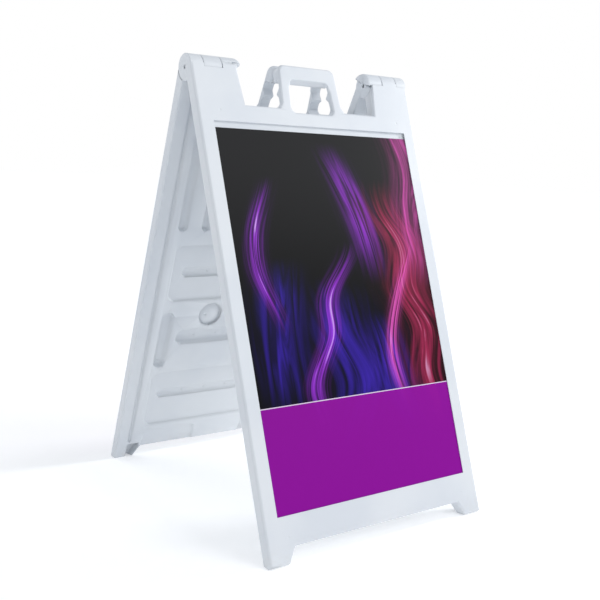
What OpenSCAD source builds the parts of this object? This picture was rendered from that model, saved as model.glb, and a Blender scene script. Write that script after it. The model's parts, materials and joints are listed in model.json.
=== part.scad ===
// Folding A-frame pavement sign. Two alike hollow moulded panels are hinged along
// their top shoulders, and each holds a printed board in its outer face.
// The sign stands open on the floor: X runs across it and Z is up, and the front
// panel is on the -Y side. The origin is on the floor, midway between the feet.

/* [Panels] */
// Width of each panel
panel_w = 672; // [660:1:760]
// Distance from the hinge axis down the hinge plane to the floor
leg_len = 1171; // [1160:1:1300]
// Thickness of each panel, from the hinge plane to its outer face
panel_t = 31.5; // [30:0.5:38]
// Lean of each open panel from upright, in degrees
half_angle = 20.3; // [14:0.1:26]
// Wall thickness of the hollow moulding
wall_t = 2.5; // [1.8:0.1:3]
// Rounding of the edges of the outer face
edge_r = 7; // [4:0.5:8]
// Rounding of the edges beside the hinge plane
rim_r = 4; // [1:0.5:5]
// Gap between the two panels when the sign is folded flat
fold_gap = 0.8; // [0.4:0.1:2]

/* [Header and shoulders] */
// Distance from the hinge axis down to the top edge between the shoulders
header_drop = 94; // [84:1:98]
// Width of a shoulder at the hinge axis
shoulder_w = 126; // [120:1:140]
// Width of a shoulder at its foot
shoulder_foot_w = 135; // [126:1:150]

/* [Hinge] */
// Length of the barrel along a shoulder's top
barrel_w = 128; // [124:1:140]
// Length of the knuckle at the panel's side
outer_knuckle_w = 36; // [28:1:42]
// Length of the middle knuckle, which the other panel carries
middle_knuckle_w = 50; // [40:1:54]
// Gap between two knuckles along the pin
knuckle_gap = 1; // [0.6:0.1:2]
// Clearance around the other panel's knuckles
barrel_clearance = 1; // [0.6:0.1:2]
// Chamfer of the knuckles' edges
knuckle_edge = 1.5; // [0.5:0.5:3]
// Diameter of the hinge pins
pin_d = 9.8; // [8:0.1:11]
// Radial clearance of a pin in its bore
pin_clearance = 0.05; // [0.02:0.01:0.1]
// Distance that each end of a pin lies inside its bore
pin_recess = 4; // [1:0.5:8]
// Chamfer of a pin's ends
pin_edge = 0.8; // [0.3:0.1:1.5]
// Reach of the beak past the barrel's inboard end
beak_len = 18; // [10:1:20]
// Height of the slot under the beak, above the hinge axis
beak_slot_rise = 6.5; // [6.5:0.5:9]
// Opening of the slot under the beak
beak_slot_h = 4.5; // [3:0.5:6]
// Length of the slot into the barrel's end
beak_slot_w = 14; // [8:1:18]

/* [Handle] */
// Width of the handle at its bar
handle_w = 176; // [160:1:190]
// Width of the handle at its foot
handle_foot_w = 188; // [180:1:210]
// Height of the bar's top above the hinge axis
handle_rise = 20; // [16:1:26]
// Outline radius of the bar's corners
handle_corner_r = 18; // [14:1:24]
// Rounding of the handle's edges
grip_r = 7; // [4:0.5:9]
// Facets round the handle's rounded edges
grip_facets = 16; // [16:4:32]
// Width of the hand hole under the bar
hand_hole_w = 124; // [110:1:130]
// Width of the hand hole at its foot
hand_hole_foot_w = 130; // [116:1:138]
// Distance from the hinge axis down to the hand hole's top
hand_hole_top = 30; // [26:1:34]
// Distance from the hinge axis down to the hand hole's foot
hand_hole_foot = 103; // [98:1:106]
// Corner radius of the hand hole
hand_hole_r = 14; // [10:1:20]
// Radius where the handle's legs flare into the top edge
flare_r = 20; // [10:1:26]
// Gap between the two handle bars when the sign stands open
stop_gap = 0.5; // [0.3:0.1:1]

/* [Feet] */
// Height of the feet below the panel's bottom edge
foot_h = 29.5; // [20:0.5:36]
// Width of a foot at the panel's bottom edge
foot_w = 77; // [70:1:90]
// Width lost by a foot's slanted inner side on its way to the floor
foot_taper = 17; // [8:1:20]
// Rounding of a foot's front corner at the floor
toe_r = 9; // [4:0.5:10]
// Radius of the inside corner between a foot and the bottom edge
foot_corner_r = 7; // [4:0.5:10]
// Depth of the pocket in a foot's rear side
foot_pocket_d = 20; // [12:1:22]
// Wall beside the pocket in a foot's rear side
foot_wall_t = 5; // [4:0.5:7]
// Height of the foot pocket's top above the panel's bottom edge
foot_pocket_rise = 16; // [10:1:20]

/* [Sign board] */
// Width of the printed board
board_w = 609.6; // [590:0.1:612]
// Height of the printed board
board_h = 914.4; // [890:0.1:915]
// Thickness of the printed board
board_t = 4; // [3:0.5:5]
// Thickness of the printed film on the board
film_t = 0.25; // [0.1:0.05:0.5]
// Distance from the hinge axis down to the board's bottom edge
board_drop = 1069.7; // [1066:0.1:1072]
// Clearance at each side of the board
board_gap = 1; // [0.5:0.1:2]
// Clearance between the film and the lips
slide_gap = 0.25; // [0.1:0.05:0.5]
// Overlap of each lip on the board's side
lip_w = 7.1; // [4:0.1:10]
// Thickness of the lips
lip_t = 1.5; // [1:0.1:2]
// Height of the opening above the board, where it is lifted out
entry_h = 16.5; // [12:0.5:17]

/* [Inner face recesses] */
// Depth of the two wide recesses
recess_d = 6; // [3:0.5:8]
// Run of a wide recess's sloping wall
recess_draft = 5; // [1:0.5:8]
// Corner radius of the wide recesses
recess_r = 24; // [16:1:30]
// Distance from the panel's side to the wide recesses
recess_margin = 72; // [70:1:80]
// Distance from the hinge axis down to the upper recess
upper_recess_drop = 468; // [460:1:476]
// Height of the upper recess
upper_recess_h = 174; // [160:1:180]
// Distance from the hinge axis down to the lower recess
lower_recess_drop = 876; // [872:1:884]
// Height of the lower recess
lower_recess_h = 190; // [180:1:196]
// Depth of the relief either side of the bottom pad
relief_d = 5; // [3:0.5:8]
// Height of the bottom pad's reliefs
relief_h = 58; // [40:1:62]
// Width of the bottom pad
bottom_pad_w = 164; // [140:1:200]

/* [Inner face grooves] */
// Depth of the cross grooves and side grooves, from the hinge plane
groove_d = 13; // [10:0.5:14]
// Run of a groove's sloping wall
groove_draft = 6; // [1:0.5:7]
// Roundness of a groove's ends, as a share of a full half circle
groove_end_share = 0.9; // [0.8:0.01:0.98]
// Depth of the upright grooves, from the hinge plane
slot_d = 9; // [6:0.5:12]
// Width of an upright groove
slot_w = 29; // [24:1:34]
// Spacing of the upright grooves
slot_pitch = 70; // [64:1:72]
// Distance from the panel's side to the outermost upright groove
slot_margin = 65.5; // [62:0.5:70]
// Distance from the hinge axis down to the upright grooves' tops
slot_top = 152; // [146:1:200]
// Distance from the hinge axis down to the upright grooves' feet
slot_foot = 428; // [400:1:440]
// Width of the side grooves
side_groove_w = 40; // [34:1:46]
// Distance from the panel's side to the side grooves
side_groove_margin = 68; // [64:1:74]
// Distance from the hinge axis down to the side grooves
side_groove_drop = 674; // [664:1:680]
// Length of the side grooves
side_groove_h = 184; // [160:1:190]
// Distances from the hinge axis down to the three cross grooves
cross_groove_drops = [534, 736, 936]; // [520:1:950]
// Heights of the three cross grooves
cross_groove_hs = [38, 50, 38]; // [30:1:54]
// Distances from the panel's side to the three cross grooves
cross_groove_margins = [104, 124, 99]; // [90:1:130]
// Distance from the panel's side to the narrow groove beside the rim
rim_groove_margin = 33; // [32:1:36]
// Width of the narrow groove beside the rim
rim_groove_w = 13; // [10:1:16]
// Depth of the narrow groove beside the rim
rim_groove_d = 6; // [3:0.5:8]
// Run of the narrow groove's sloping wall
rim_groove_draft = 3; // [1:0.5:4]
// Distance from the hinge axis down to the narrow groove's top
rim_groove_drop = 76; // [70:1:90]
// Spacing of the dimples in the cross grooves
dimple_pitch = 73.5; // [60:0.5:80]
// Width of a dimple
dimple_w = 9; // [6:0.5:11]
// Depth of a dimple
dimple_d = 2; // [1:0.1:2.4]

/* [Ballast plug] */
// Distance from the hinge axis down to the plug's centre
plug_drop = 690; // [686:1:694]
// Distance from the panel's middle to the plug's centre
plug_x = 114; // [100:1:130]
// Diameter of the plug's domed head
plug_head_d = 68; // [60:1:70]
// Height of the dome
plug_dome_h = 8; // [5:0.5:9]
// Thickness of the head's rim
plug_rim_h = 2; // [1.5:0.5:3]
// Diameter of the plug's neck
plug_neck_d = 38; // [30:1:44]
// Length of the plug's neck
plug_neck_h = 8; // [6:0.5:9]
// Wall of the plug's neck
plug_neck_wall = 3; // [2:0.5:4]
// Radial clearance of the neck in its hole
plug_clearance = 0.1; // [0.05:0.05:0.3]
// Gap between the plug's head and its well
plug_well_gap = 3; // [2:0.5:5]
// Distance from the plug's centre to the dimple in its head
plug_dimple_x = 17; // [12:1:20]
// Thickness of the sealing ring
seal_t = 1.6; // [1:0.1:2.4]
// Outer diameter of the sealing ring
seal_d = 58; // [50:1:60]

/* [Outer face] */
// Distance from the panel's side to the moulding marks of the outer face
mark_margin = 60; // [58:1:70]
// Distance from the hinge axis down to the upper moulding marks
mark_top = 112; // [108:1:116]
// Distance from the hinge axis down to the lower moulding marks
mark_foot = 1118; // [1108:1:1124]
// Width of a moulding mark
mark_w = 8; // [5:0.5:10]
// Depth of a moulding mark
mark_d = 0.8; // [0.4:0.1:1.2]

/* [Hidden] */
$fn = 64;
moulding_colour = "whitesmoke";
steel_colour = "silver";
board_colour = "white";
film_colour = "indigo";
seal_colour = "dimgray";
// Overrun by which every cut passes clear of the surface that it opens
over = 1;
// Length that passes right through any panel
through = 3 * leg_len;
hinge_h = leg_len * cos(half_angle);
stand_angle = 90 - half_angle;
side_x = panel_w / 2;
land_z = fold_gap / 2;
bottom_edge = leg_len - foot_h;
barrel_r = panel_t;
barrel_end_x = side_x - barrel_w;
bore_d = pin_d + 2 * pin_clearance;
flank_lean = atan((shoulder_foot_w - shoulder_w) / header_drop);
foot_lean = atan(foot_taper / foot_h);
handle_lean = atan((handle_foot_w - handle_w) / 2 / header_drop);
// How much further the outer face runs down to the floor than the hinge plane
toe_reach = panel_t * tan(half_angle);
lip_z = panel_t - lip_t;
bed_z = lip_z - slide_gap - film_t - board_t;
bed_top = board_drop - board_h - entry_h;
bed_half = board_w / 2 + board_gap;
plug_head_z = land_z + plug_dome_h + plug_rim_h;
well_floor_z = plug_head_z + seal_t;
well_d = plug_head_d + 2 * plug_well_gap;
groove_back_z = groove_d + dimple_d + wall_t;
// Upright grooves in each half, the innermost at least its own width from the middle
slot_count = 1 + floor((side_x - slot_margin - slot_w / 2 - slot_w) / slot_pitch);
// Start and end of each knuckle, from the middle of the panel outwards
inner_knuckle = [barrel_end_x, side_x - outer_knuckle_w - middle_knuckle_w];
middle_knuckle = [side_x - outer_knuckle_w - middle_knuckle_w, side_x - outer_knuckle_w];
outer_knuckle = [side_x - outer_knuckle_w, side_x];

// A panel and all that it holds are drawn lying down: x across, y up from the hinge
// axis, and z out from the hinge plane. These modules stand them up front and rear.
module as_front() translate([0, 0, hinge_h]) rotate([stand_angle, 0, 0]) children();
module as_rear() rotate([0, 0, 180]) as_front() children();

// A left and a right copy, drawn as the right one
module both_sides() {
    children();
    mirror([1, 0, 0]) children();
}

// Flat shape from x0 to x1 through a panel's thickness, with its edges rounded
module rounded_section(x0, x1) {
    translate([x0, land_z + rim_r]) square([x1 - x0, panel_t - edge_r - land_z - rim_r]);
    translate([x0 + rim_r, land_z]) square([x1 - x0 - 2 * rim_r, panel_t - edge_r - land_z]);
    translate([x0 + edge_r, panel_t / 2]) square([x1 - x0 - 2 * edge_r, panel_t / 2]);
    for (x = [x0 + rim_r, x1 - rim_r]) translate([x, land_z + rim_r]) circle(rim_r);
    for (x = [x0 + edge_r, x1 - edge_r]) translate([x, panel_t - edge_r]) circle(edge_r);
}

// Half section of a cut that leaves rounded edges, x out from its middle line
module cut_half_section(r) {
    translate([0, -over]) square([r, panel_t + 2 * over]);
    difference() {
        translate([0, panel_t - edge_r]) square([r + edge_r, edge_r + over]);
        translate([r + edge_r, panel_t - edge_r]) circle(edge_r);
    }
    difference() {
        translate([0, land_z - over]) square([r + rim_r, rim_r + over]);
        translate([r + rim_r, land_z + rim_r]) circle(rim_r);
    }
}

// Fills the inside corner at a point between two edges that run off at angles a and
// b, anticlockwise from a across the open side, with radius r
module corner_fill(point, a, b, r) {
    half = (b - a) / 2;
    run = r / tan(half);
    centre = point + r / sin(half) * [cos(a + half), sin(a + half)];
    on_a = point + run * [cos(a), sin(a)];
    on_b = point + run * [cos(b), sin(b)];
    difference() {
        translate([0, 0, land_z]) linear_extrude(panel_t - land_z) polygon([
            point - edge_r / sin(half) * [cos(a + half), sin(a + half)],
            on_a + edge_r * [sin(a), -cos(a)],
            centre,
            on_b + edge_r * [-sin(b), cos(b)]
        ]);
        translate(centre) rotate_extrude() cut_half_section(r);
    }
}

// Cut for a recess whose walls slope in: w, h and r are its width, height and corner
// radius at the hinge plane's side, and draft is the run of its wall
module recess(w, h, r, depth, draft) {
    lip = draft / depth * over;
    for (i = [-1, 1], j = [-1, 1])
        translate([i * (w / 2 - r), j * (h / 2 - r), -over])
            cylinder(h = depth + over, r1 = r + lip, r2 = r - draft);
    rotate([90, 0, 90]) linear_extrude(w - 2 * r, center = true)
        recess_section(h / 2, depth, draft, lip);
    rotate([90, 0, 0]) linear_extrude(h - 2 * r, center = true)
        recess_section(w / 2, depth, draft, lip);
}

// Section through a recess, from just outside its mouth to its floor
module recess_section(half, depth, draft, lip)
    polygon([[-half - lip, -over], [half + lip, -over], [half - draft, depth], [draft - half, depth]]);

// Cut for a groove with rounded ends, by its middle across the panel, its distance
// down the panel, its width across and height down, and its depth
module groove(x, drop, w, h, depth, draft)
    translate([x, -drop - h / 2, land_z])
        recess(w, h, groove_end_share * min(w, h) / 2, depth - land_z, draft);

// Round dimple with its rim at z = 0, cut towards +z
module dimple(w, d) {
    r = (w * w / 4 + d * d) / (2 * d);
    translate([0, 0, d - r]) sphere(r);
}

// Middle of an upright groove, a side groove's middle, and a cross groove's width
function slot_x(i) = side_x - slot_margin - slot_w / 2 - i * slot_pitch;
function side_groove_x() = side_x - side_groove_margin - side_groove_w / 2;
function cross_groove_w(i) = 2 * (side_x - cross_groove_margins[i]);

module wide_recesses() for (r = [[upper_recess_drop, upper_recess_h], [lower_recess_drop, lower_recess_h]])
    translate([0, -r[0] - r[1] / 2, land_z])
        recess(2 * (side_x - recess_margin), r[1], recess_r, recess_d, recess_draft);

module grooves() {
    both_sides() for (i = [0 : slot_count - 1])
        groove(slot_x(i), slot_top, slot_w, slot_foot - slot_top, slot_d, groove_draft);
    for (i = [0 : len(cross_groove_drops) - 1])
        groove(0, cross_groove_drops[i], cross_groove_w(i), cross_groove_hs[i], groove_d, groove_draft);
    both_sides() {
        groove(side_groove_x(), side_groove_drop, side_groove_w, side_groove_h, groove_d, groove_draft);
        groove(side_x - rim_groove_margin - rim_groove_w / 2, rim_groove_drop, rim_groove_w,
            bottom_edge - foot_pocket_rise - foot_wall_t - rim_groove_drop, rim_groove_d, rim_groove_draft);
    }
}

// Rows of dimples along the floors of the cross grooves, and one in each side groove
module inner_dimples() {
    for (i = [0 : len(cross_groove_drops) - 1]) {
        n = floor((cross_groove_w(i) / 2 - side_groove_w / 2) / dimple_pitch);
        for (k = [-n : n])
            translate([k * dimple_pitch, -cross_groove_drops[i] - cross_groove_hs[i] / 2, groove_d])
                dimple(dimple_w, dimple_d);
    }
    both_sides() translate([side_groove_x(), side_groove_w / 2 - side_groove_drop - side_groove_h, groove_d])
        dimple(dimple_w, dimple_d);
}

// Relief between the bottom pad and a foot, open at the bottom edge
module relief() {
    w = side_x - foot_w - bottom_pad_w / 2;
    translate([bottom_pad_w / 2 + w / 2, -bottom_edge, land_z])
        recess(w, 2 * relief_h, recess_r / 2, relief_d, relief_d);
}

// Pocket in the rear of a foot, open at the floor
module foot_pocket() {
    inner = side_x - foot_w + foot_wall_t / cos(foot_lean);
    outer = side_x - rim_groove_margin;
    reach = foot_h + toe_reach + over;
    translate([0, 0, land_z - over]) linear_extrude(foot_pocket_d + over) polygon([
        [inner, -bottom_edge],
        [inner, foot_pocket_rise - bottom_edge],
        [outer, foot_pocket_rise - bottom_edge],
        [outer, -bottom_edge - reach],
        [inner + reach * tan(foot_lean), -bottom_edge - reach]
    ]);
}

// Well for the plug's head and seal, and the hole for its neck into the hollow
module plug_well() translate([plug_x, -plug_drop, 0]) {
    translate([0, 0, -over]) cylinder(h = well_floor_z + over, d = well_d);
    cylinder(h = groove_back_z + over, d = plug_neck_d + 2 * plug_clearance);
}

// Bed for the board, which runs under the side lips, and the window in front of it
module board_cuts() {
    bed_h = board_drop - bed_top;
    sight_half = board_w / 2 - lip_w;
    translate([-bed_half, -board_drop, bed_z]) cube([2 * bed_half, bed_h, lip_z - bed_z]);
    translate([-sight_half, -board_drop, bed_z]) cube([2 * sight_half, bed_h, panel_t - bed_z + over]);
}

module outer_marks() both_sides() for (drop = [mark_top, mark_foot])
    translate([side_x - mark_margin, -drop, panel_t]) mirror([0, 0, 1]) dimple(mark_w, mark_d);

// Flat outlines that the hollow stays clear of: those of the deep grooves, and those
// of the wide recesses and the reliefs
module groove_outlines() {
    for (i = [0 : slot_count - 1], side = [-1, 1])
        wall_round(side * slot_x(i), slot_top, slot_w, slot_foot - slot_top);
    for (i = [0 : len(cross_groove_drops) - 1])
        wall_round(0, cross_groove_drops[i], cross_groove_w(i), cross_groove_hs[i]);
    for (side = [-1, 1]) {
        wall_round(side * side_groove_x(), side_groove_drop, side_groove_w, side_groove_h);
        wall_round(side * (side_x - foot_w / 2), bottom_edge - foot_pocket_rise, foot_w, foot_pocket_rise);
    }
    translate([plug_x, -plug_drop]) circle(d = well_d + 2 * wall_t);
}
module recess_outlines() {
    wall_round(0, upper_recess_drop, 2 * (side_x - recess_margin), upper_recess_h);
    wall_round(0, lower_recess_drop, 2 * (side_x - recess_margin), lower_recess_h);
    wall_round(0, bottom_edge - relief_h, panel_w, relief_h);
}

// Rectangle one wall larger all round than a groove of the given place and size
module wall_round(x, drop, w, h)
    translate([x, -drop - h / 2]) square([w + 2 * wall_t, h + 2 * wall_t], center = true);

// One box of the hollow, by its x range, its range down the panel and its z range
module hollow(x0, x1, top, foot, z0, z1) translate([x0, -foot, z0]) cube([x1 - x0, foot - top, z1 - z0]);

// The hollow inside the moulding: behind the board, in the rims, header and shoulders
module hollows() {
    core_x = side_x - rim_groove_margin - rim_groove_w - wall_t;
    column_x = side_x - rim_groove_margin + wall_t;
    rim_x = side_x - wall_t;
    low_z = land_z + wall_t;
    recess_z = land_z + max(recess_d, rim_groove_d) + wall_t;
    back_z = bed_z - wall_t;
    top_z = panel_t - wall_t;
    top = hand_hole_foot + edge_r + wall_t;
    foot = bottom_edge - edge_r;
    header = bed_top - wall_t;
    sill = board_drop + wall_t;
    shoulder_top = barrel_r + 2 * barrel_clearance + wall_t;
    shoulder_x = side_x - shoulder_w + edge_r;
    translate([0, 0, low_z]) linear_extrude(recess_z - low_z + over) difference() {
        translate([-core_x, -foot]) square([2 * core_x, foot - top]);
        groove_outlines();
        recess_outlines();
    }
    difference() {
        hollow(-rim_x, rim_x, top, foot, recess_z, back_z);
        translate([0, 0, land_z]) linear_extrude(groove_back_z - land_z) groove_outlines();
    }
    both_sides() hollow(column_x, rim_x, top, foot, low_z, recess_z + over);
    both_sides() hollow(bed_half + wall_t, rim_x, top, foot, back_z - over, top_z);
    hollow(-rim_x, rim_x, top, header, back_z - over, top_z);
    hollow(-rim_x, rim_x, sill, foot, back_z - over, top_z);
    both_sides() hollow(shoulder_x, rim_x, shoulder_top, top + over, recess_z, top_z);
}

// Main slab between the shoulders and the feet
module slab() rotate([90, 0, 90]) linear_extrude(panel_w, center = true)
    rounded_section(-bottom_edge, -header_drop);

// Column whose inboard edge starts at a point and runs down the panel, leaning out
module leaning_column(x, drop, lean, w, run) translate([x, -drop, 0]) rotate([90, 0, lean])
    translate([0, 0, -w / 2]) linear_extrude(run + w / 2) rounded_section(0, w);

module shoulder() {
    leaning_column(side_x - shoulder_w, 0, -flank_lean, shoulder_w / 2, header_drop + edge_r);
    translate([side_x - shoulder_w + edge_r, -header_drop - edge_r, land_z])
        cube([shoulder_w - edge_r, header_drop + edge_r, panel_t - land_z]);
}

module foot() {
    leaning_column(side_x - foot_w, bottom_edge, foot_lean, foot_w / 2, 2 * foot_h);
    translate([side_x - foot_w / 2, -leg_len - 2 * toe_reach, land_z])
        cube([foot_w / 2, foot_h + 2 * toe_reach + edge_r, panel_t - land_z]);
    corner_fill([side_x - foot_w, -bottom_edge], 180, 270 + foot_lean, foot_corner_r);
}

// All of a lying panel that is above the floor and below the hinge axis, with the
// foot's front corner rounded
module above_floor() {
    tip = [-leg_len - toe_reach, panel_t];
    run = toe_r / tan(stand_angle / 2);
    along_floor = [sin(half_angle), -cos(half_angle)];
    centre = tip + [run, -toe_r];
    rotate([90, 0, 90]) linear_extrude(through, center = true) {
        difference() {
            polygon([tip, [-leg_len, 0], [0, 0], [0, panel_t]]);
            polygon([tip + run * along_floor, tip - [run, 0], tip + [0, run], tip + [run, 0] + [0, over], centre]);
        }
        translate(centre) circle(toe_r);
    }
}

// Flat outline of the handle: two legs lean out from the bar, flare into the header
// and are joined by a rail inside it, below the hand hole
module handle_outline() {
    bar_x = handle_w / 2 - handle_corner_r;
    bar_y = handle_rise - handle_corner_r;
    foot_y = -hand_hole_foot - grip_r - over;
    foot_x = bar_x + (bar_y - foot_y) * tan(handle_lean);
    corner_x = bar_x + (bar_y + header_drop) * tan(handle_lean) + handle_corner_r / cos(handle_lean);
    difference() {
        union() {
            hull() {
                for (x = [-bar_x, bar_x]) translate([x, bar_y]) circle(handle_corner_r, $fn = 2 * grip_facets);
                for (x = [-foot_x, foot_x]) translate([x, foot_y]) circle(handle_corner_r, $fn = grip_facets);
            }
            for (side = [-1, 1]) scale([side, 1]) leg_flare([corner_x, -header_drop]);
        }
        hand_hole_outline();
    }
}

// Fills the inside corner between the right leg and the header
module leg_flare(corner) {
    half = (90 + handle_lean) / 2;
    centre = corner + flare_r / sin(half) * [cos(half), sin(half)];
    difference() {
        polygon([corner - [edge_r, edge_r], [centre.x, corner.y - edge_r], centre, [corner.x - edge_r, centre.y]]);
        translate(centre) circle(flare_r, $fn = 2 * grip_facets);
    }
}

module hand_hole_outline() hull() {
    for (side = [-1, 1]) {
        translate([side * (hand_hole_w / 2 - hand_hole_r), -hand_hole_top - hand_hole_r])
            circle(hand_hole_r, $fn = 2 * grip_facets);
        translate([side * (hand_hole_foot_w / 2 - hand_hole_r), hand_hole_r - hand_hole_foot])
            circle(hand_hole_r, $fn = 2 * grip_facets);
    }
}

// Handle with rounded edges, trimmed so that the two bars meet as the sign opens
module handle() difference() {
    translate([0, 0, land_z + grip_r]) minkowski() {
        linear_extrude(panel_t - land_z - 2 * grip_r) offset(delta = -grip_r) handle_outline();
        sphere(grip_r, $fn = grip_facets);
    }
    rotate([half_angle, 0, 0]) translate([-handle_w, -handle_w, stop_gap / 2 - handle_w])
        cube([2 * handle_w, 2 * handle_w, handle_w]);
}

// Room cut in the header for the handle's rail, wide of the hand hole
module hand_hole_room() {
    w = hand_hole_foot_w + 2 * (grip_r + over);
    foot = hand_hole_foot + grip_r + over;
    translate([-w / 2, -foot, 0]) cube([w, foot, panel_t + over]);
}

// Knuckle from x0 to x1 about the hinge axis, with chamfered edges
module knuckle(span) {
    w = span[1] - span[0] - knuckle_gap;
    translate([span[0] + knuckle_gap / 2, 0, 0]) rotate([0, 90, 0]) {
        cylinder(h = knuckle_edge, r1 = barrel_r - knuckle_edge, r2 = barrel_r);
        translate([0, 0, knuckle_edge]) cylinder(h = w - 2 * knuckle_edge, r = barrel_r);
        translate([0, 0, w - knuckle_edge]) cylinder(h = knuckle_edge, r1 = barrel_r, r2 = barrel_r - knuckle_edge);
    }
}

// Room for one of the other panel's knuckles
module knuckle_room(x0, x1) translate([x0 - knuckle_gap / 2, 0, 0]) rotate([0, 90, 0])
    cylinder(h = x1 - x0 + knuckle_gap, r = barrel_r + barrel_clearance);

// Beak that carries the barrel's top past its inboard end
module beak() intersection() {
    translate([barrel_end_x - beak_len, 0, 0]) rotate([0, 90, 0]) rotate_extrude() {
        square([barrel_r - beak_len, 2 * beak_len]);
        translate([0, beak_len]) square([barrel_r, beak_len]);
        intersection() {
            translate([barrel_r - beak_len, beak_len]) circle(beak_len);
            square([barrel_r, 2 * beak_len]);
        }
    }
    translate([0, beak_slot_rise + beak_slot_h, -panel_w]) cube([panel_w, panel_w, 2 * panel_w]);
}

// Slot under the beak, cut into the barrel's end
module beak_slot() translate([barrel_end_x - beak_len, beak_slot_rise, -barrel_r - over])
    cube([beak_len + beak_slot_w, beak_slot_h, 2 * (barrel_r + over)]);

module panel() difference() {
    union() {
        difference() {
            intersection() {
                union() {
                    slab();
                    both_sides() shoulder();
                    both_sides() foot();
                }
                rotate([90, 0, 0]) linear_extrude(through, center = true) rounded_section(-side_x, side_x);
                above_floor();
            }
            hand_hole_room();
            mirror([1, 0, 0]) knuckle_room(middle_knuckle[0], middle_knuckle[1]);
            knuckle_room(inner_knuckle[0] - beak_len, inner_knuckle[1]);
            knuckle_room(outer_knuckle[0], outer_knuckle[1] + knuckle_gap);
        }
        mirror([1, 0, 0]) knuckle(inner_knuckle);
        mirror([1, 0, 0]) knuckle(outer_knuckle);
        mirror([1, 0, 0]) beak();
        knuckle(middle_knuckle);
        handle();
    }
    both_sides() translate([barrel_end_x - beak_len, 0, 0]) rotate([0, 90, 0])
        cylinder(h = barrel_w + beak_len + over, d = bore_d);
    mirror([1, 0, 0]) beak_slot();
    board_cuts();
    wide_recesses();
    grooves();
    inner_dimples();
    both_sides() relief();
    both_sides() foot_pocket();
    plug_well();
    outer_marks();
    hollows();
}

// Pin through a shoulder's knuckles, with chamfered ends
module hinge_pin() translate([barrel_end_x + pin_recess, 0, 0]) rotate([0, 90, 0]) {
    w = barrel_w - 2 * pin_recess;
    cylinder(h = pin_edge, d1 = pin_d - 2 * pin_edge, d2 = pin_d);
    translate([0, 0, pin_edge]) cylinder(h = w - 2 * pin_edge, d = pin_d);
    translate([0, 0, w - pin_edge]) cylinder(h = pin_edge, d1 = pin_d, d2 = pin_d - 2 * pin_edge);
}

module sign_board() translate([-board_w / 2, -board_drop, bed_z]) cube([board_w, board_h, board_t]);

module print_film() translate([-board_w / 2, -board_drop, bed_z + board_t]) cube([board_w, board_h, film_t]);

// Plug whose domed head fills the well and whose hollow neck fits the hole
module ballast_plug() translate([plug_x, -plug_drop, plug_head_z]) difference() {
    dome_r = (plug_head_d * plug_head_d / 4 + plug_dome_h * plug_dome_h) / (2 * plug_dome_h);
    union() {
        translate([0, 0, -plug_rim_h]) cylinder(h = plug_rim_h, d = plug_head_d);
        intersection() {
            translate([0, 0, dome_r - plug_dome_h - plug_rim_h]) sphere(dome_r);
            translate([0, 0, -plug_rim_h - plug_dome_h]) cylinder(h = plug_dome_h + plug_rim_h / 2, d = plug_head_d);
        }
        cylinder(h = plug_neck_h, d = plug_neck_d);
    }
    cylinder(h = plug_neck_h + over, d = plug_neck_d - 2 * plug_neck_wall);
    translate([plug_dimple_x, 0, dome_r - plug_dome_h - plug_rim_h - sqrt(dome_r * dome_r - plug_dimple_x * plug_dimple_x)])
        dimple(dimple_w, dimple_d);
}

module plug_seal() translate([plug_x, -plug_drop, plug_head_z]) difference() {
    cylinder(h = seal_t, d = seal_d);
    translate([0, 0, -over]) cylinder(h = seal_t + 2 * over, d = plug_neck_d + 2 * plug_clearance);
}

module front_panel() color(moulding_colour) as_front() panel();
module rear_panel() color(moulding_colour) as_rear() panel();
module left_hinge_pin() color(steel_colour) translate([0, 0, hinge_h]) mirror([1, 0, 0]) hinge_pin();
module right_hinge_pin() color(steel_colour) translate([0, 0, hinge_h]) hinge_pin();
module front_sign_board() color(board_colour) as_front() sign_board();
module rear_sign_board() color(board_colour) as_rear() sign_board();
module front_print_film() color(film_colour) as_front() print_film();
module rear_print_film() color(film_colour) as_rear() print_film();
module front_ballast_plug() color(moulding_colour) as_front() ballast_plug();
module rear_ballast_plug() color(moulding_colour) as_rear() ballast_plug();
module front_plug_seal() color(seal_colour) as_front() plug_seal();
module rear_plug_seal() color(seal_colour) as_rear() plug_seal();

front_panel();
rear_panel();
left_hinge_pin();
right_hinge_pin();
front_sign_board();
rear_sign_board();
front_print_film();
rear_print_film();
front_ballast_plug();
rear_ballast_plug();
front_plug_seal();
rear_plug_seal();
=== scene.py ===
"""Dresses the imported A-frame pavement sign for a studio picture.

The sign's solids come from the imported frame. This script gives each of them the
finish of the real piece, carves a copy of each panel to the moulding's slimmer
handle, adds the soft lip round each filler plug, and sets a camera, a pale floor
and soft studio light round them. Every length is in metres unless its name says
otherwise.
"""

from __future__ import annotations

import json
import logging
import math
from dataclasses import dataclass, field
from enum import Enum
from typing import Any

import bmesh
import bpy
from mathutils import Matrix, Vector

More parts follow.
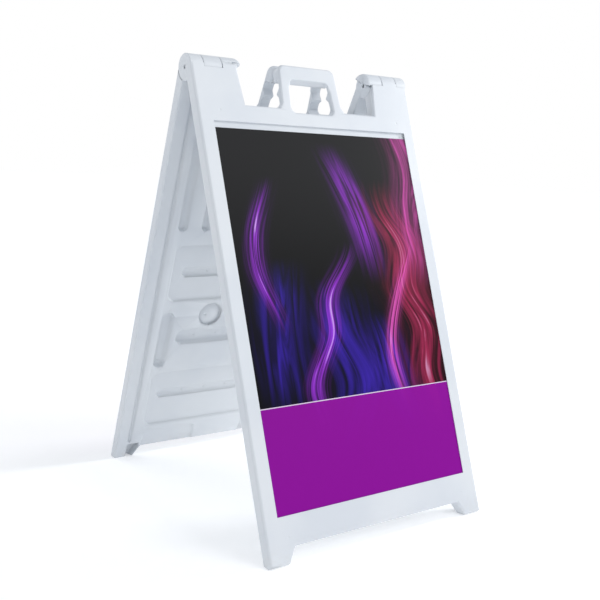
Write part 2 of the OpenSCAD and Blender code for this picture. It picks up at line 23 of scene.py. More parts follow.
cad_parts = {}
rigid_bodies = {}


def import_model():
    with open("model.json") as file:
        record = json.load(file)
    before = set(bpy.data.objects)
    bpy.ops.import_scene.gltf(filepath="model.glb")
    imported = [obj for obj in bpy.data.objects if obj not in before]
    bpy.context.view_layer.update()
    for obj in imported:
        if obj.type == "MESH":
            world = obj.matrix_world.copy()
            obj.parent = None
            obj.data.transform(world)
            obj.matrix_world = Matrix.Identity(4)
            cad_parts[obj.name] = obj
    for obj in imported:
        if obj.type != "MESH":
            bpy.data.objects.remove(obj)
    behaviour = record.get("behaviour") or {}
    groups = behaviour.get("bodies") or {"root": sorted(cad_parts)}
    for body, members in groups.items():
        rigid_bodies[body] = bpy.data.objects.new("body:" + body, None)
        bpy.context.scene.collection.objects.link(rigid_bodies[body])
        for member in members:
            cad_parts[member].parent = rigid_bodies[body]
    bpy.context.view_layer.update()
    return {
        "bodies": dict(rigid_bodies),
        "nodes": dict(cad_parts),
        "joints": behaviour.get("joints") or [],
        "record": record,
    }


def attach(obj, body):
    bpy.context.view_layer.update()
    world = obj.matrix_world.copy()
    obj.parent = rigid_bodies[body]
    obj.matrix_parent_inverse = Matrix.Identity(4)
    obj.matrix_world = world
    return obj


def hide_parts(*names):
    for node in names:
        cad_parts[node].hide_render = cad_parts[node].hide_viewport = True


LOG = logging.getLogger("a_frame_sign")
MM = 0.001
PER_METRE_MM = 1000.0

# A node and the output of it that feeds another
Feed = tuple[bpy.types.Node, str | int]
Colour = tuple[float, float, float, float]


class Side(Enum):
    """Which of the two panels a piece belongs to."""

    FRONT = "front"
    REAR = "rear"


# Colours


def linear_rgb(hex_code: str) -> tuple[float, float, float]:
    """Turns an sRGB hex colour into the linear values that a shader takes.

    Args:
        hex_code: Six hex digits, such as "dfe3e6".

    Returns:
        Red, green and blue from 0 to 1, linear.
    """
    channels = [int(hex_code[i : i + 2], 16) / 255 for i in (0, 2, 4)]
    return tuple(c / 12.92 if c <= 0.04045 else ((c + 0.055) / 1.055) ** 2.4 for c in channels)


def linear_rgba(hex_code: str) -> Colour:
    """The same colour with a full alpha."""
    return (*linear_rgb(hex_code), 1.0)


# The panels' frame


@dataclass(frozen=True)
class PanelFrame:
    """Where the panels stand: the hinge axis and how far each leans.

    A place on a panel is given by x across it, drop down it from the hinge axis
    and out from the hinge plane, all in millimetres.
    """

    hinge_height_mm: float = 1098.27
    lean_deg: float = 20.3

    def matrix(self, side: Side) -> Matrix:
        """Takes a panel's flat coordinates (x, up, out), in metres, to the frame's.

        Args:
            side: The panel that is meant.

        Returns:
            The transform from the lying panel to the standing one.
        """
        stand = Matrix.Rotation(math.radians(90 - self.lean_deg), 4, "X")
        lift = Matrix.Translation((0, 0, self.hinge_height_mm * MM))
        turn = Matrix.Rotation(math.pi if side is Side.REAR else 0.0, 4, "Z")
        return turn @ lift @ stand


PANELS = PanelFrame()


# Shader building


class Shader:
    """One node material under construction."""

    def __init__(self, name: str) -> None:
        """Starts an empty material with a principled shader.

        Args:
            name: The finish's name.
        """
        self.material = bpy.data.materials.new(name)
        self.material.use_nodes = True
        self.tree = self.material.node_tree
        self.tree.nodes.clear()
        self.output = self.add("ShaderNodeOutputMaterial")
        self.surface = self.add("ShaderNodeBsdfPrincipled")
        self.link(self.surface, "BSDF", self.output, "Surface")

    def add(self, kind: str, links: dict[str | int, Feed] | None = None,
            values: dict[str | int, Any] | None = None, **settings: Any) -> bpy.types.Node:
        """Adds one node with its settings, input values and incoming links.

        Args:
            kind: Blender's node type.
            links: For each input, the node and output that feed it.
            values: For each input, its fixed value.
            **settings: Properties of the node, such as operation.

        Returns:
            The new node.
        """
        node = self.tree.nodes.new(kind)
        for name, value in settings.items():
            setattr(node, name, value)
        for socket, value in (values or {}).items():
            node.inputs[socket].default_value = value
        for socket, (source, output) in (links or {}).items():
            self.tree.links.new(source.outputs[output], node.inputs[socket])
        return node

    def link(self, source: bpy.types.Node, output: str | int,
             target: bpy.types.Node, socket: str | int) -> None:
        """Joins one node's output to another's input."""
        self.tree.links.new(source.outputs[output], target.inputs[socket])

    def constants(self, **values: Any) -> None:
        """Sets fixed values on the surface shader, by input name with _ for a space."""
        for name, value in values.items():
            self.surface.inputs[name.replace("_", " ")].default_value = value

    def object_place(self) -> bpy.types.Node:
        """The piece's own coordinates, in metres, which move with it."""
        return self.add("ShaderNodeTexCoord")

    def ramp(self, source: bpy.types.Node, output: str | int,
             *stops: tuple[float, str]) -> bpy.types.Node:
        """Adds a colour ramp over one value, eased between its stops.

        Args:
            source: The node whose value is looked up.
            output: Which of its outputs.
            *stops: Positions from 0 to 1 with their sRGB hex colours.

        Returns:
            The ramp.
        """
        node = self.add("ShaderNodeValToRGB", {"Fac": (source, output)})
        node.color_ramp.interpolation = "EASE"
        elements = node.color_ramp.elements
        while len(elements) > 1:
            elements.remove(elements[-1])
        elements[0].position, elements[0].color = stops[0][0], linear_rgba(stops[0][1])
        for position, hex_code in stops[1:]:
            elements.new(position).color = linear_rgba(hex_code)
        return node

    def bump(self, source: bpy.types.Node, output: str | int, height_mm: float,
             before: bpy.types.Node | None = None) -> bpy.types.Node:
        """Adds relief of a real height on top of any relief already there.

        Args:
            source: The node whose value is the height, from 0 to 1.
            output: Which of its outputs.
            height_mm: The relief's real height.
            before: A bump node that this one adds to.

        Returns:
            The bump node.
        """
        links = {"Height": (source, output)}
        if before is not None:
            links["Normal"] = (before, "Normal")
        return self.add("ShaderNodeBump", links, {"Strength": 1.0, "Distance": height_mm * MM})


# The finishes


@dataclass(frozen=True)
class MouldedPolyethylene:
    """White high-density polyethylene as it leaves a blow-moulding tool.

    The tool is grit blasted so that air escapes, which leaves an even satin grain.
    The walls are a little uneven in thickness, so the white drifts slightly, the
    surface is faintly wavy, and dust settles low down.
    """

    name: str = "Blow-moulded polyethylene"
    white_hex: str = "d9dde1"
    shade_hex: str = "d1d6dc"
    dust_hex: str = "c9c8c3"
    grain_mm: float = 1.1
    grain_height_mm: float = 0.035
    wave_mm: float = 120.0
    wave_height_mm: float = 0.5
    patch_mm: float = 260.0
    dust_reach_mm: float = 70.0
    dust_share: float = 0.28
    speckle_mm: float = 18.2
    polish_roughness: float = 0.40
    dull_roughness: float = 0.50
    sink_mm: float = 4.0

    def build(self) -> bpy.types.Material:
        """Makes the finish."""
        shader = Shader(self.name)
        place = shader.object_place()
        patches = shader.add("ShaderNodeTexNoise", {"Vector": (place, "Object")},
                             {"Scale": PER_METRE_MM / self.patch_mm, "Detail": 3.0, "Roughness": 0.5})
        white = shader.ramp(patches, "Fac", (0.35, self.shade_hex), (0.65, self.white_hex))

        # Dust: thickest at the floor, and broken up by a finer noise
        split = shader.add("ShaderNodeSeparateXYZ", {"Vector": (place, "Object")})
        low = shader.add("ShaderNodeMapRange", {"Value": (split, "Z")},
                         {"From Min": 0.0, "From Max": self.dust_reach_mm * MM,
                          "To Min": self.dust_share, "To Max": 0.0},
                         interpolation_type="SMOOTHSTEP")
        speckle = shader.add("ShaderNodeTexNoise", {"Vector": (place, "Object")},
                             {"Scale": PER_METRE_MM / self.speckle_mm, "Detail": 5.0, "Roughness": 0.65})
        broken = shader.add("ShaderNodeMapRange", {"Value": (speckle, "Fac")},
                            {"From Min": 0.42, "From Max": 0.68, "To Min": 0.0, "To Max": 1.0})
        dust = shader.add("ShaderNodeMath", {0: (low, "Result"), 1: (broken, "Result")},
                          operation="MULTIPLY")
        colour = shader.add("ShaderNodeMix", {"Factor": (dust, "Value"), 6: (white, "Color")},
                            {7: linear_rgba(self.dust_hex)}, data_type="RGBA")
        shader.link(colour, 2, shader.surface, "Base Color")

        # The blasted tool's grain, drawn coarser than life so that it shows
        grain = shader.add("ShaderNodeTexNoise", {"Vector": (place, "Object")},
                           {"Scale": PER_METRE_MM / self.grain_mm, "Detail": 2.0, "Roughness": 0.6})
        wave = shader.add("ShaderNodeTexNoise", {"Vector": (place, "Object")},
                          {"Scale": PER_METRE_MM / self.wave_mm, "Detail": 1.0, "Roughness": 0.4})
        soft = shader.bump(wave, "Fac", self.wave_height_mm)
        fine = shader.bump(grain, "Fac", self.grain_height_mm, soft)
        shader.link(fine, "Normal", shader.surface, "Normal")
        rough = shader.add("ShaderNodeMapRange", {"Value": (patches, "Fac")},
                           {"From Min": 0.3, "From Max": 0.7,
                            "To Min": self.polish_roughness, "To Max": self.dull_roughness})
        shader.link(rough, "Result", shader.surface, "Roughness")
        # A little light sinks into the plastic and softens its edges
        shader.constants(IOR=1.54, Metallic=0.0, Subsurface_Weight=0.08,
                         Subsurface_Scale=self.sink_mm * MM, Subsurface_Radius=(1.0, 1.0, 1.0))
        return shader.material


@dataclass(frozen=True)
class DrawnSteel:
    """Plain drawn steel rod, as cut for the hinge pins.

    Drawing leaves fine scratches along the rod, so the sheen stretches across it.
    """

    name: str = "Drawn steel rod"
    light_hex: str = "b9bbbd"
    dark_hex: str = "77797c"
    scratch_mm: float = 0.6
    scratch_depth_mm: float = 0.02
    stretch: float = 50.0
    polish_roughness: float = 0.28
    dull_roughness: float = 0.5

    def build(self) -> bpy.types.Material:
        """Makes the finish."""
        shader = Shader(self.name)
        place = shader.object_place()
        stretched = shader.add("ShaderNodeMapping", {"Vector": (place, "Object")},
                               {"Scale": (1 / self.stretch, 1.0, 1.0)})
        scratches = shader.add("ShaderNodeTexNoise", {"Vector": (stretched, "Vector")},
                               {"Scale": PER_METRE_MM / self.scratch_mm, "Detail": 3.0})
        colour = shader.ramp(scratches, "Fac", (0.3, self.dark_hex), (0.7, self.light_hex))
        shader.link(colour, "Color", shader.surface, "Base Color")
        rough = shader.add("ShaderNodeMapRange", {"Value": (scratches, "Fac")},
                           {"To Min": self.polish_roughness, "To Max": self.dull_roughness})
        shader.link(rough, "Result", shader.surface, "Roughness")
        relief = shader.bump(scratches, "Fac", self.scratch_depth_mm)
        shader.link(relief, "Normal", shader.surface, "Normal")
        shader.constants(Metallic=1.0)
        return shader.material


@dataclass(frozen=True)
class TwinwallPolypropylene:
    """White corrugated polypropylene sheet, extruded as two skins on upright flutes.

    The flutes print through both skins as faint upright lines.
    """

    name: str = "Twinwall polypropylene"
    white_hex: str = "eef0f1"
    line_hex: str = "dcdfe1"
    flute_mm: float = 4.4
    flute_height_mm: float = 0.05

    def build(self) -> bpy.types.Material:
        """Makes the finish."""
        shader = Shader(self.name)
        place = shader.object_place()
        # At scale 1 the texture's bands repeat every 2 pi / 20 units
        flutes = shader.add("ShaderNodeTexWave", {"Vector": (place, "Object")},
                            {"Scale": math.tau / 20 / (self.flute_mm * MM), "Distortion": 0.0,
                             "Detail": 0.0},
                            wave_type="BANDS", bands_direction="X", wave_profile="SIN")
        colour = shader.ramp(flutes, "Fac", (0.0, self.line_hex), (0.35, self.white_hex))
        shader.link(colour, "Color", shader.surface, "Base Color")
        relief = shader.bump(flutes, "Fac", self.flute_height_mm)
        shader.link(relief, "Normal", shader.surface, "Normal")
        shader.constants(Roughness=0.42, IOR=1.49)
        return shader.material


@dataclass(frozen=True)
class MouldedRubber:
    """Black nitrile rubber with the slight bloom of a moulded ring."""

    name: str = "Nitrile rubber"
    black_hex: str = "1b1b1c"
    bloom_hex: str = "2d2d2f"
    bloom_mm: float = 9.0
    bloom_height_mm: float = 0.03

    def build(self) -> bpy.types.Material:
        """Makes the finish."""
        shader = Shader(self.name)
        place = shader.object_place()
        bloom = shader.add("ShaderNodeTexNoise", {"Vector": (place, "Object")},
                           {"Scale": PER_METRE_MM / self.bloom_mm, "Detail": 4.0})
        colour = shader.ramp(bloom, "Fac", (0.4, self.black_hex), (0.75, self.bloom_hex))
        shader.link(colour, "Color", shader.surface, "Base Color")
        relief = shader.bump(bloom, "Fac", self.bloom_height_mm)
        shader.link(relief, "Normal", shader.surface, "Normal")
        shader.constants(Roughness=0.62, IOR=1.52)
        return shader.material


@dataclass(frozen=True)
class Ribbon:
    """One swaying ribbon of fine strands, in shares of the print's width and height."""

    middle: float
    half_width: float
    sway: float
    phase: float
    hex_code: str
    strength: float
    top: float
    foot: float


@dataclass(frozen=True)
class PrintedFilm:
    """Satin laminated print: soft ribbons of coloured light over a black ground, with a painted sheen that
    lightens the ground towards the top.

    The design is a generic abstract one: drifting ribbons in violet, blue and
    magenta, a pale line, and a plain purple band across the foot.
    """

    side: Side
    black_hex: str = "050506"
    # Painted sheen: the black ground lightens to this colour at the top of the print, standing in for the
    # satin laminate's reflection
    painted_sheen_hex: str = "262627"
    blue_hex: str = "4a2bd0"
    violet_hex: str = "b23cf0"
    magenta_hex: str = "ff5fd0"
    red_hex: str = "c03060"
    band_hex: str = "8c0796"
    line_hex: str = "d8c8dc"
    core_hex: str = "f6d2ff"
    width_mm: float = 609.6
    top_mm: float = 155.3
    foot_mm: float = 1069.7
    line_at_mm: float = 823.6
    line_mm: float = 2.4
    edge_mm: float = 0.4
    band_cover: float = 0.93
    swing_rate: float = 4.5
    wander_rate: float = 2.0
    wander: float = 0.16
    falloff: float = 1.6
    strand_rate: float = 1.7
    strand_twist: float = 2.4
    strand_floor: float = 0.10
    fade_in: float = 0.16
    fade_out: float = 0.2

    @property
    def height_mm(self) -> float:
        """The print's height."""
        return self.foot_mm - self.top_mm

    def build(self) -> bpy.types.Material:
        """Makes the finish."""
        shader = Shader(f"Laminated print, {self.side.value}")
        across, down = self.panel_place(shader)
        art = self.ribbons(shader, across, down)
        self.band(shader, down, art)
        # The laminate is matted, so it mirrors less of the white room than bare film
        shader.constants(Roughness=0.38, IOR=1.45, Specular_IOR_Level=0.07)
        return shader.material

    def panel_place(self, shader: Shader) -> tuple[Feed, Feed]:
        """Finds the place on the print, across from the middle and down from its top, 0 to 1.

        Args:
            shader: The material being built.

        Returns:
            The outputs for across and down.
        """
        turn = PANELS.matrix(self.side).inverted()
        place = shader.object_place()
        flat = shader.add("ShaderNodeMapping", {"Vector": (place, "Object")},
                          {"Location": turn.to_translation(), "Rotation": turn.to_euler("XYZ")},
                          vector_type="POINT")
        split = shader.add("ShaderNodeSeparateXYZ", {"Vector": (flat, "Vector")})
        across = shader.add("ShaderNodeMath", {0: (split, "X")}, {1: self.width_mm * MM},
                            operation="DIVIDE")
        down = shader.add("ShaderNodeMapRange", {"Value": (split, "Y")},
                          {"From Min": -self.top_mm * MM, "From Max": -self.foot_mm * MM,
                           "To Min": 0.0, "To Max": 1.0}, clamp=False)
        return (across, "Value"), (down, "Result")

    def ribbons(self, shader: Shader, across: Feed, down: Feed) -> Feed:
        """Draws the drifting ribbons over the black ground and its painted sheen towards the top.

        Args:
            shader: The material being built.
            across: The place across the print.
            down: The place down it.

        Returns:
            The picture.
        """
        # The ground is black with a painted sheen, lighter at the top, where the laminate's reflection of
        # the room is painted into the colour
        ground = shader.ramp(*down, (0.0, self.painted_sheen_hex), (0.6, self.black_hex))
        picture: Feed = (ground, "Color")
        # Middle, half width, sway, phase, colour, strength, top, foot
        ribbons = (
            Ribbon(-0.36, 0.10, 0.06, 0.4, self.blue_hex, 0.75, 0.34, 0.78),
            Ribbon(-0.30, 0.04, 0.10, 2.6, self.violet_hex, 0.95, 0.12, 0.56),
            Ribbon(-0.10, 0.16, 0.12, 3.4, self.blue_hex, 0.55, 0.40, 0.90),
            Ribbon(-0.06, 0.05, 0.13, 1.0, self.violet_hex, 0.85, 0.30, 0.84),
            Ribbon(0.10, 0.07, 0.09, 5.2, self.violet_hex, 0.8, 0.02, 0.44),
            Ribbon(0.16, 0.10, 0.10, 2.2, self.blue_hex, 0.8, 0.50, 0.90),
            Ribbon(0.42, 0.10, 0.05, 1.2, self.magenta_hex, 0.95, -0.12, 0.46),
            Ribbon(0.34, 0.12, 0.08, 4.3, self.red_hex, 0.75, 0.12, 0.88),
            Ribbon(0.30, 0.035, 0.12, 0.2, self.magenta_hex, 0.8, 0.28, 0.82),
        )
        for index, ribbon in enumerate(ribbons):
            picture = self.lay_ribbon(shader, across, down, picture, index, ribbon)
        return picture

    def lay_ribbon(self, shader: Shader, across: Feed, down: Feed, under: Feed,
                   index: int, ribbon: Ribbon) -> Feed:
        """Adds one ribbon to the picture.

        Args:
            shader: The material being built.
            across: The place across the print.
            down: The place down it.
            under: The picture so far.
            index: The ribbon's number, which sets its strands' pattern.
            ribbon: Its place, colour and strength.

        Returns:
            The picture with this ribbon.
        """
        swing = shader.add("ShaderNodeMath", {0: down}, {1: self.swing_rate + index % 3, 2: ribbon.phase},
                           operation="MULTIPLY_ADD")
        wave = shader.add("ShaderNodeMath", {0: (swing, "Value")}, operation="SINE")
        wander = shader.add("ShaderNodeTexNoise", {"W": down},
                            {"Scale": self.wander_rate + index % 4, "Detail": 0.0}, noise_dimensions="1D")
        drift = shader.add("ShaderNodeMath", {0: (wander, "Fac")},
                           {1: self.wander, 2: ribbon.middle - self.wander / 2}, operation="MULTIPLY_ADD")
        centre = shader.add("ShaderNodeMath", {0: (wave, "Value"), 2: (drift, "Value")}, {1: ribbon.sway},
                            operation="MULTIPLY_ADD")
        offset = shader.add("ShaderNodeMath", {0: across, 1: (centre, "Value")}, operation="SUBTRACT")
        scaled = shader.add("ShaderNodeMath", {0: (offset, "Value")}, {1: ribbon.half_width},
                            operation="DIVIDE")
        square = shader.add("ShaderNodeMath", {0: (scaled, "Value"), 1: (scaled, "Value")},
                            operation="MULTIPLY")
        falls = shader.add("ShaderNodeMath", {0: (square, "Value")}, {1: -self.falloff},
                           operation="MULTIPLY")
        body = shader.add("ShaderNodeMath", {1: (falls, "Value")}, {0: math.e}, operation="POWER")
        grid = shader.add("ShaderNodeCombineXYZ", {"X": (scaled, "Value"), "Y": down}, {"Z": float(index)})
        strands = shader.add("ShaderNodeTexNoise", {"Vector": (grid, "Vector")},
                             {"Scale": self.strand_rate, "Detail": 4.0, "Roughness": 0.5,
                              "Distortion": self.strand_twist})
        fine = shader.add("ShaderNodeMapRange", {"Value": (strands, "Fac")},
                          {"From Min": 0.38, "From Max": 0.66,
                           "To Min": self.strand_floor, "To Max": 1.0})
        begins = shader.add("ShaderNodeMapRange", {"Value": down},
                            {"From Min": ribbon.top, "From Max": ribbon.top + self.fade_in},
                            interpolation_type="SMOOTHSTEP")
        ends = shader.add("ShaderNodeMapRange", {"Value": down},
                          {"From Min": ribbon.foot - self.fade_out, "From Max": ribbon.foot,
                           "To Min": 1.0, "To Max": 0.0}, interpolation_type="SMOOTHSTEP")
        length = shader.add("ShaderNodeMath", {0: (begins, "Result"), 1: (ends, "Result")},
                            operation="MULTIPLY")
        glow = shader.add("ShaderNodeMath", {0: (body, "Value"), 1: (fine, "Result")},
                          operation="MULTIPLY")
        amount = shader.add("ShaderNodeMath", {0: (glow, "Value"), 1: (length, "Value")},
                            operation="MULTIPLY")
        held = shader.add("ShaderNodeMath", {0: (amount, "Value")}, {1: ribbon.strength},
                          operation="MULTIPLY")
        # The brightest strands burn out to a pale core
        tint = shader.ramp(held, "Value", (0.0, ribbon.hex_code), (0.55, ribbon.hex_code),
                           (1.0, self.core_hex))
        mixed = shader.add("ShaderNodeMix", {"Factor": (held, "Value"), 6: under, 7: (tint, "Color")},
                           data_type="RGBA", blend_type="SCREEN")
        return mixed, 2

    def band(self, shader: Shader, down: Feed, art: Feed) -> None:
        """Lays the purple band and its pale line over the foot of the picture.

        Args:
            shader: The material being built.
            down: The place down the print.
            art: The picture above the band.
        """
        start = (self.line_at_mm - self.top_mm) / self.height_mm
        soft = self.edge_mm / 2 / self.height_mm
        in_band = shader.add("ShaderNodeMapRange", {"Value": down},
                             {"From Min": start - soft, "From Max": start + soft})
        faded = shader.add("ShaderNodeMix", {6: art},
                           {"Factor": self.band_cover, 7: linear_rgba(self.band_hex)}, data_type="RGBA")
        with_band = shader.add("ShaderNodeMix", {"Factor": (in_band, "Result"), 6: art, 7: (faded, 2)},
                               data_type="RGBA")
        away = shader.add("ShaderNodeMath", {0: down}, {1: start}, operation="SUBTRACT")
        distance = shader.add("ShaderNodeMath", {0: (away, "Value")}, operation="ABSOLUTE")
        on_line = shader.add("ShaderNodeMath", {0: (distance, "Value")},
                             {1: self.line_mm / 2 / self.height_mm}, operation="LESS_THAN")
        final = shader.add("ShaderNodeMix", {"Factor": (on_line, "Value"), 6: (with_band, 2)},
                           {7: linear_rgba(self.line_hex)}, data_type="RGBA")
        shader.link(final, 2, shader.surface, "Base Color")


@dataclass(frozen=True)
class PaperSweep:
    """Plain pale matt floor of a studio, the white of a paper sweep."""

    name: str = "Matt paper sweep"
    white_hex: str = "ffffff"
    fibre_hex: str = "fdfdfd"
    fibre_mm: float = 40.0
    glow: float = 0.23

    def build(self) -> bpy.types.Material:
        """Makes the finish, with a slight glow as if the paper were lit from below."""
        shader = Shader(self.name)
        place = shader.object_place()
        fibres = shader.add("ShaderNodeTexNoise", {"Vector": (place, "Object")},
                            {"Scale": PER_METRE_MM / self.fibre_mm})
        colour = shader.ramp(fibres, "Fac", (0.3, self.fibre_hex), (0.7, self.white_hex))
        shader.link(colour, "Color", shader.surface, "Base Color")
        shader.constants(Roughness=0.9, IOR=1.45, Emission_Color=linear_rgba(self.white_hex),
                         Emission_Strength=self.glow)
        return shader.material


# The sign's sub-assemblies


def add_object(shape: bmesh.types.BMesh, name: str) -> bpy.types.Object:
    """Makes a bmesh an object of the scene, at the world's origin.

    Args:
        shape: The bmesh, which is freed.
        name: The object's name, and its mesh's.

    Returns:
        The new object.
    """
    mesh = bpy.data.meshes.new(name)
    shape.to_mesh(mesh)
    shape.free()
    made = bpy.data.objects.new(name, mesh)
    bpy.context.scene.collection.objects.link(made)
    return made


def dress(frame: dict[str, Any], node: str, material: bpy.types.Material) -> None:
    """Gives a CAD node its finish in place of the plain one it was packed with.

    Args:
        node: The node's name.
        material: Its finish.
    """
    slots = frame["nodes"][node].data.materials
    if len(slots) == 0:
        slots.append(material)
    for i in range(len(slots)):
        slots[i] = material
    LOG.info("dressed %s in %s", node, material.name)


@dataclass
class Mouldings:
    """The two hollow panels, and the plugs moulded from the same plastic."""

    frame: dict[str, Any]
    finish: MouldedPolyethylene = field(default_factory=MouldedPolyethylene)

    def build(self) -> None:
        """Carves the panels, dresses the plugs and gives each plug its lip."""
        material = self.finish.build()
        for side in Side:
            PanelShell(self.frame, side).build(material)
            dress(self.frame, f"{side.value}_ballast_plug", material)
            PlugLip(self.frame, side).build(material)


@dataclass
class PanelShell:
    """A panel with its handle carved to the moulding's slimmer section.

    The legs are slim under the bar and at the foot of the hand hole, with a nub
    between, so two keyhole-shaped gaps show between the front and rear handles.
    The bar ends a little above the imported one's underside. The handle is solid,
    so the cuts meet no hollow.
    """

    frame: dict[str, Any]
    side: Side
    reach_mm: float = 116.0
    bend_mm: float = 3.0
    bend_segments: int = 4
    smooth_deg: float = 32.0
    area_weight: int = 100
    merge_mm: float = 0.001
    # The legs' inner side, as drop below the hinge axis and distance out from the hinge plane
    inner_side_mm: tuple[tuple[float, float], ...] = (
        (17.0, -4.0), (18.0, 19.0), (23.0, 24.0), (40.0, 24.0), (53.0, 10.0),
        (64.0, 19.0), (84.0, 20.0), (94.0, 12.0), (98.0, -4.0),
    )
    # The hand hole's upper end, as drop and half width, and how its sides lean and its corners round
    hole_top_mm: float = 18.0
    hole_foot_mm: float = 50.0
    hole_half_mm: float = 60.0
    hole_lean: float = 0.068
    hole_round_mm: float = 13.0
    panel_mm: float = 31.5
    rim_round_mm: float = 3.0
    round_steps: int = 8

    def quarter_turns(self) -> list[float]:
        """The angles, in radians, that step round a quarter circle."""
        return [0.5 * math.pi * step / self.round_steps for step in range(self.round_steps + 1)]

    def leg_cutter(self) -> bpy.types.Object:
        """Makes the block that the legs lose, across both legs.

        Returns:
            The block, which is deleted after the cut.
        """
        shape = bmesh.new()
        corners = [shape.verts.new((-self.reach_mm * MM, -drop * MM, out * MM))
                   for drop, out in self.inner_side_mm]
        flat = shape.faces.new(corners)
        swept = bmesh.ops.extrude_face_region(shape, geom=[flat])["geom"]
        moved = [item for item in swept if isinstance(item, bmesh.types.BMVert)]
        bmesh.ops.translate(shape, vec=(2 * self.reach_mm * MM, 0.0, 0.0), verts=moved)
        bmesh.ops.recalc_face_normals(shape, faces=shape.faces)
        # The bends that lie inside the leg run from side to side
        bends = [edge for edge in shape.edges
                 if abs(edge.verts[0].co.x - edge.verts[1].co.x) > self.reach_mm * MM
                 and edge.verts[0].co.z > 0.0]
        bmesh.ops.bevel(shape, geom=bends, offset=self.bend_mm * MM, offset_type="OFFSET",
                        segments=self.bend_segments, profile=0.5, affect="EDGES", material=-1)
        bmesh.ops.transform(shape, matrix=PANELS.matrix(self.side), verts=shape.verts)
        return add_object(shape, "leg_cutter")

    def hole_outline(self, grow: float) -> list[tuple[float, float]]:
        """Lists the raised end of the hand hole, as distance across and up, in mm.

        Args:
            grow: How far the outline stands outside the hole's own, in mm.

        Returns:
            The outline's corners in order.
        """
        foot_half = self.hole_half_mm + (self.hole_foot_mm - self.hole_top_mm) * self.hole_lean + grow
        radius = self.hole_round_mm + grow
        centre_x = self.hole_half_mm - self.hole_round_mm
        centre_up = -self.hole_top_mm - self.hole_round_mm
        corner = [(centre_x + radius * math.cos(turn), centre_up + radius * math.sin(turn))
                  for turn in self.quarter_turns()]
        right = [(foot_half, -self.hole_foot_mm), *corner]
        return right + [(-across, up) for across, up in reversed(right)]

    def hole_cutter(self) -> bpy.types.Object:
        """Makes the block that raises the hand hole, flared to round the hole's rims.

        Returns:
            The block, which is deleted after the cut.
        """
        rim = self.rim_round_mm
        # Each outline's distance out and growth, from the inner side to the nominal hole
        inner = [(-rim, rim)] + [(rim - rim * math.cos(turn), rim - rim * math.sin(turn))
                                 for turn in self.quarter_turns()]
        levels = inner + [(self.panel_mm - out, grow) for out, grow in reversed(inner)]
        shape = bmesh.new()
        loops = []
        for out, grow in levels:
            ring = [shape.verts.new((across * MM, up * MM, out * MM))
                    for across, up in self.hole_outline(grow)]
            loops.append([shape.edges.new((ring[i - 1], ring[i])) for i in range(len(ring))])
        for lower, upper in zip(loops, loops[1:]):
            bmesh.ops.bridge_loops(shape, edges=lower + upper)
        for end in (loops[0], loops[-1]):
            bmesh.ops.edgeloop_fill(shape, edges=end)
        bmesh.ops.recalc_face_normals(shape, faces=shape.faces)
        bmesh.ops.transform(shape, matrix=PANELS.matrix(self.side), verts=shape.verts)
        return add_object(shape, "hole_cutter")

    def merged_copy(self, name: str) -> bpy.types.Object:
        """Copies the CAD panel with its loose triangles joined.

        Args:
            name: The copy's name.

        Returns:
            The copy.
        """
        shape = bmesh.new()
        shape.from_mesh(self.frame["nodes"][f"{self.side.value}_panel"].data)
        bmesh.ops.remove_doubles(shape, verts=shape.verts, dist=self.merge_mm * MM)
        return add_object(shape, name)

    def carve(self, shell: bpy.types.Object, blocks: list[bpy.types.Object]) -> bpy.types.Mesh:
        """Takes the blocks out of the panel and deletes them.

        Args:
            shell: The panel, whose mesh is exchanged for the carved one.
            blocks: What it loses.

        Returns:
            The carved mesh.
        """
        for block in blocks:
            cut = shell.modifiers.new(block.name, "BOOLEAN")
            cut.operation = "DIFFERENCE"
            cut.solver = "EXACT"
            cut.object = block
        graph = bpy.context.evaluated_depsgraph_get()
        carved = bpy.data.meshes.new_from_object(shell.evaluated_get(graph))
        carved.name = shell.name
        shell.modifiers.clear()
        spent = [shell.data] + [block.data for block in blocks]
        shell.data = carved
        for block in blocks:
            bpy.data.objects.remove(block)
        for mesh in spent:
            bpy.data.meshes.remove(mesh)
        return carved

    def build(self, material: bpy.types.Material) -> None:
        """Carves the copy, shades it and puts it in the CAD panel's place.

        Args:
            material: The moulding's finish.
        """
        name = f"{self.side.value}_moulding"
        shell = self.merged_copy(name)
        carved = self.carve(shell, [self.leg_cutter(), self.hole_cutter()])
        carved.shade_smooth()
        carved.set_sharp_from_angle(angle=math.radians(self.smooth_deg))
        carved.materials.clear()
        carved.materials.append(material)
        # Large flat faces keep their own direction beside the small rounds
        level = shell.modifiers.new("normals", "WEIGHTED_NORMAL")
        level.mode = "FACE_AREA"
        level.weight = self.area_weight
        level.keep_sharp = True
        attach(shell, self.side.value)
        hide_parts(f"{self.side.value}_panel")
        LOG.info("made %s, %d faces", name, len(carved.polygons))


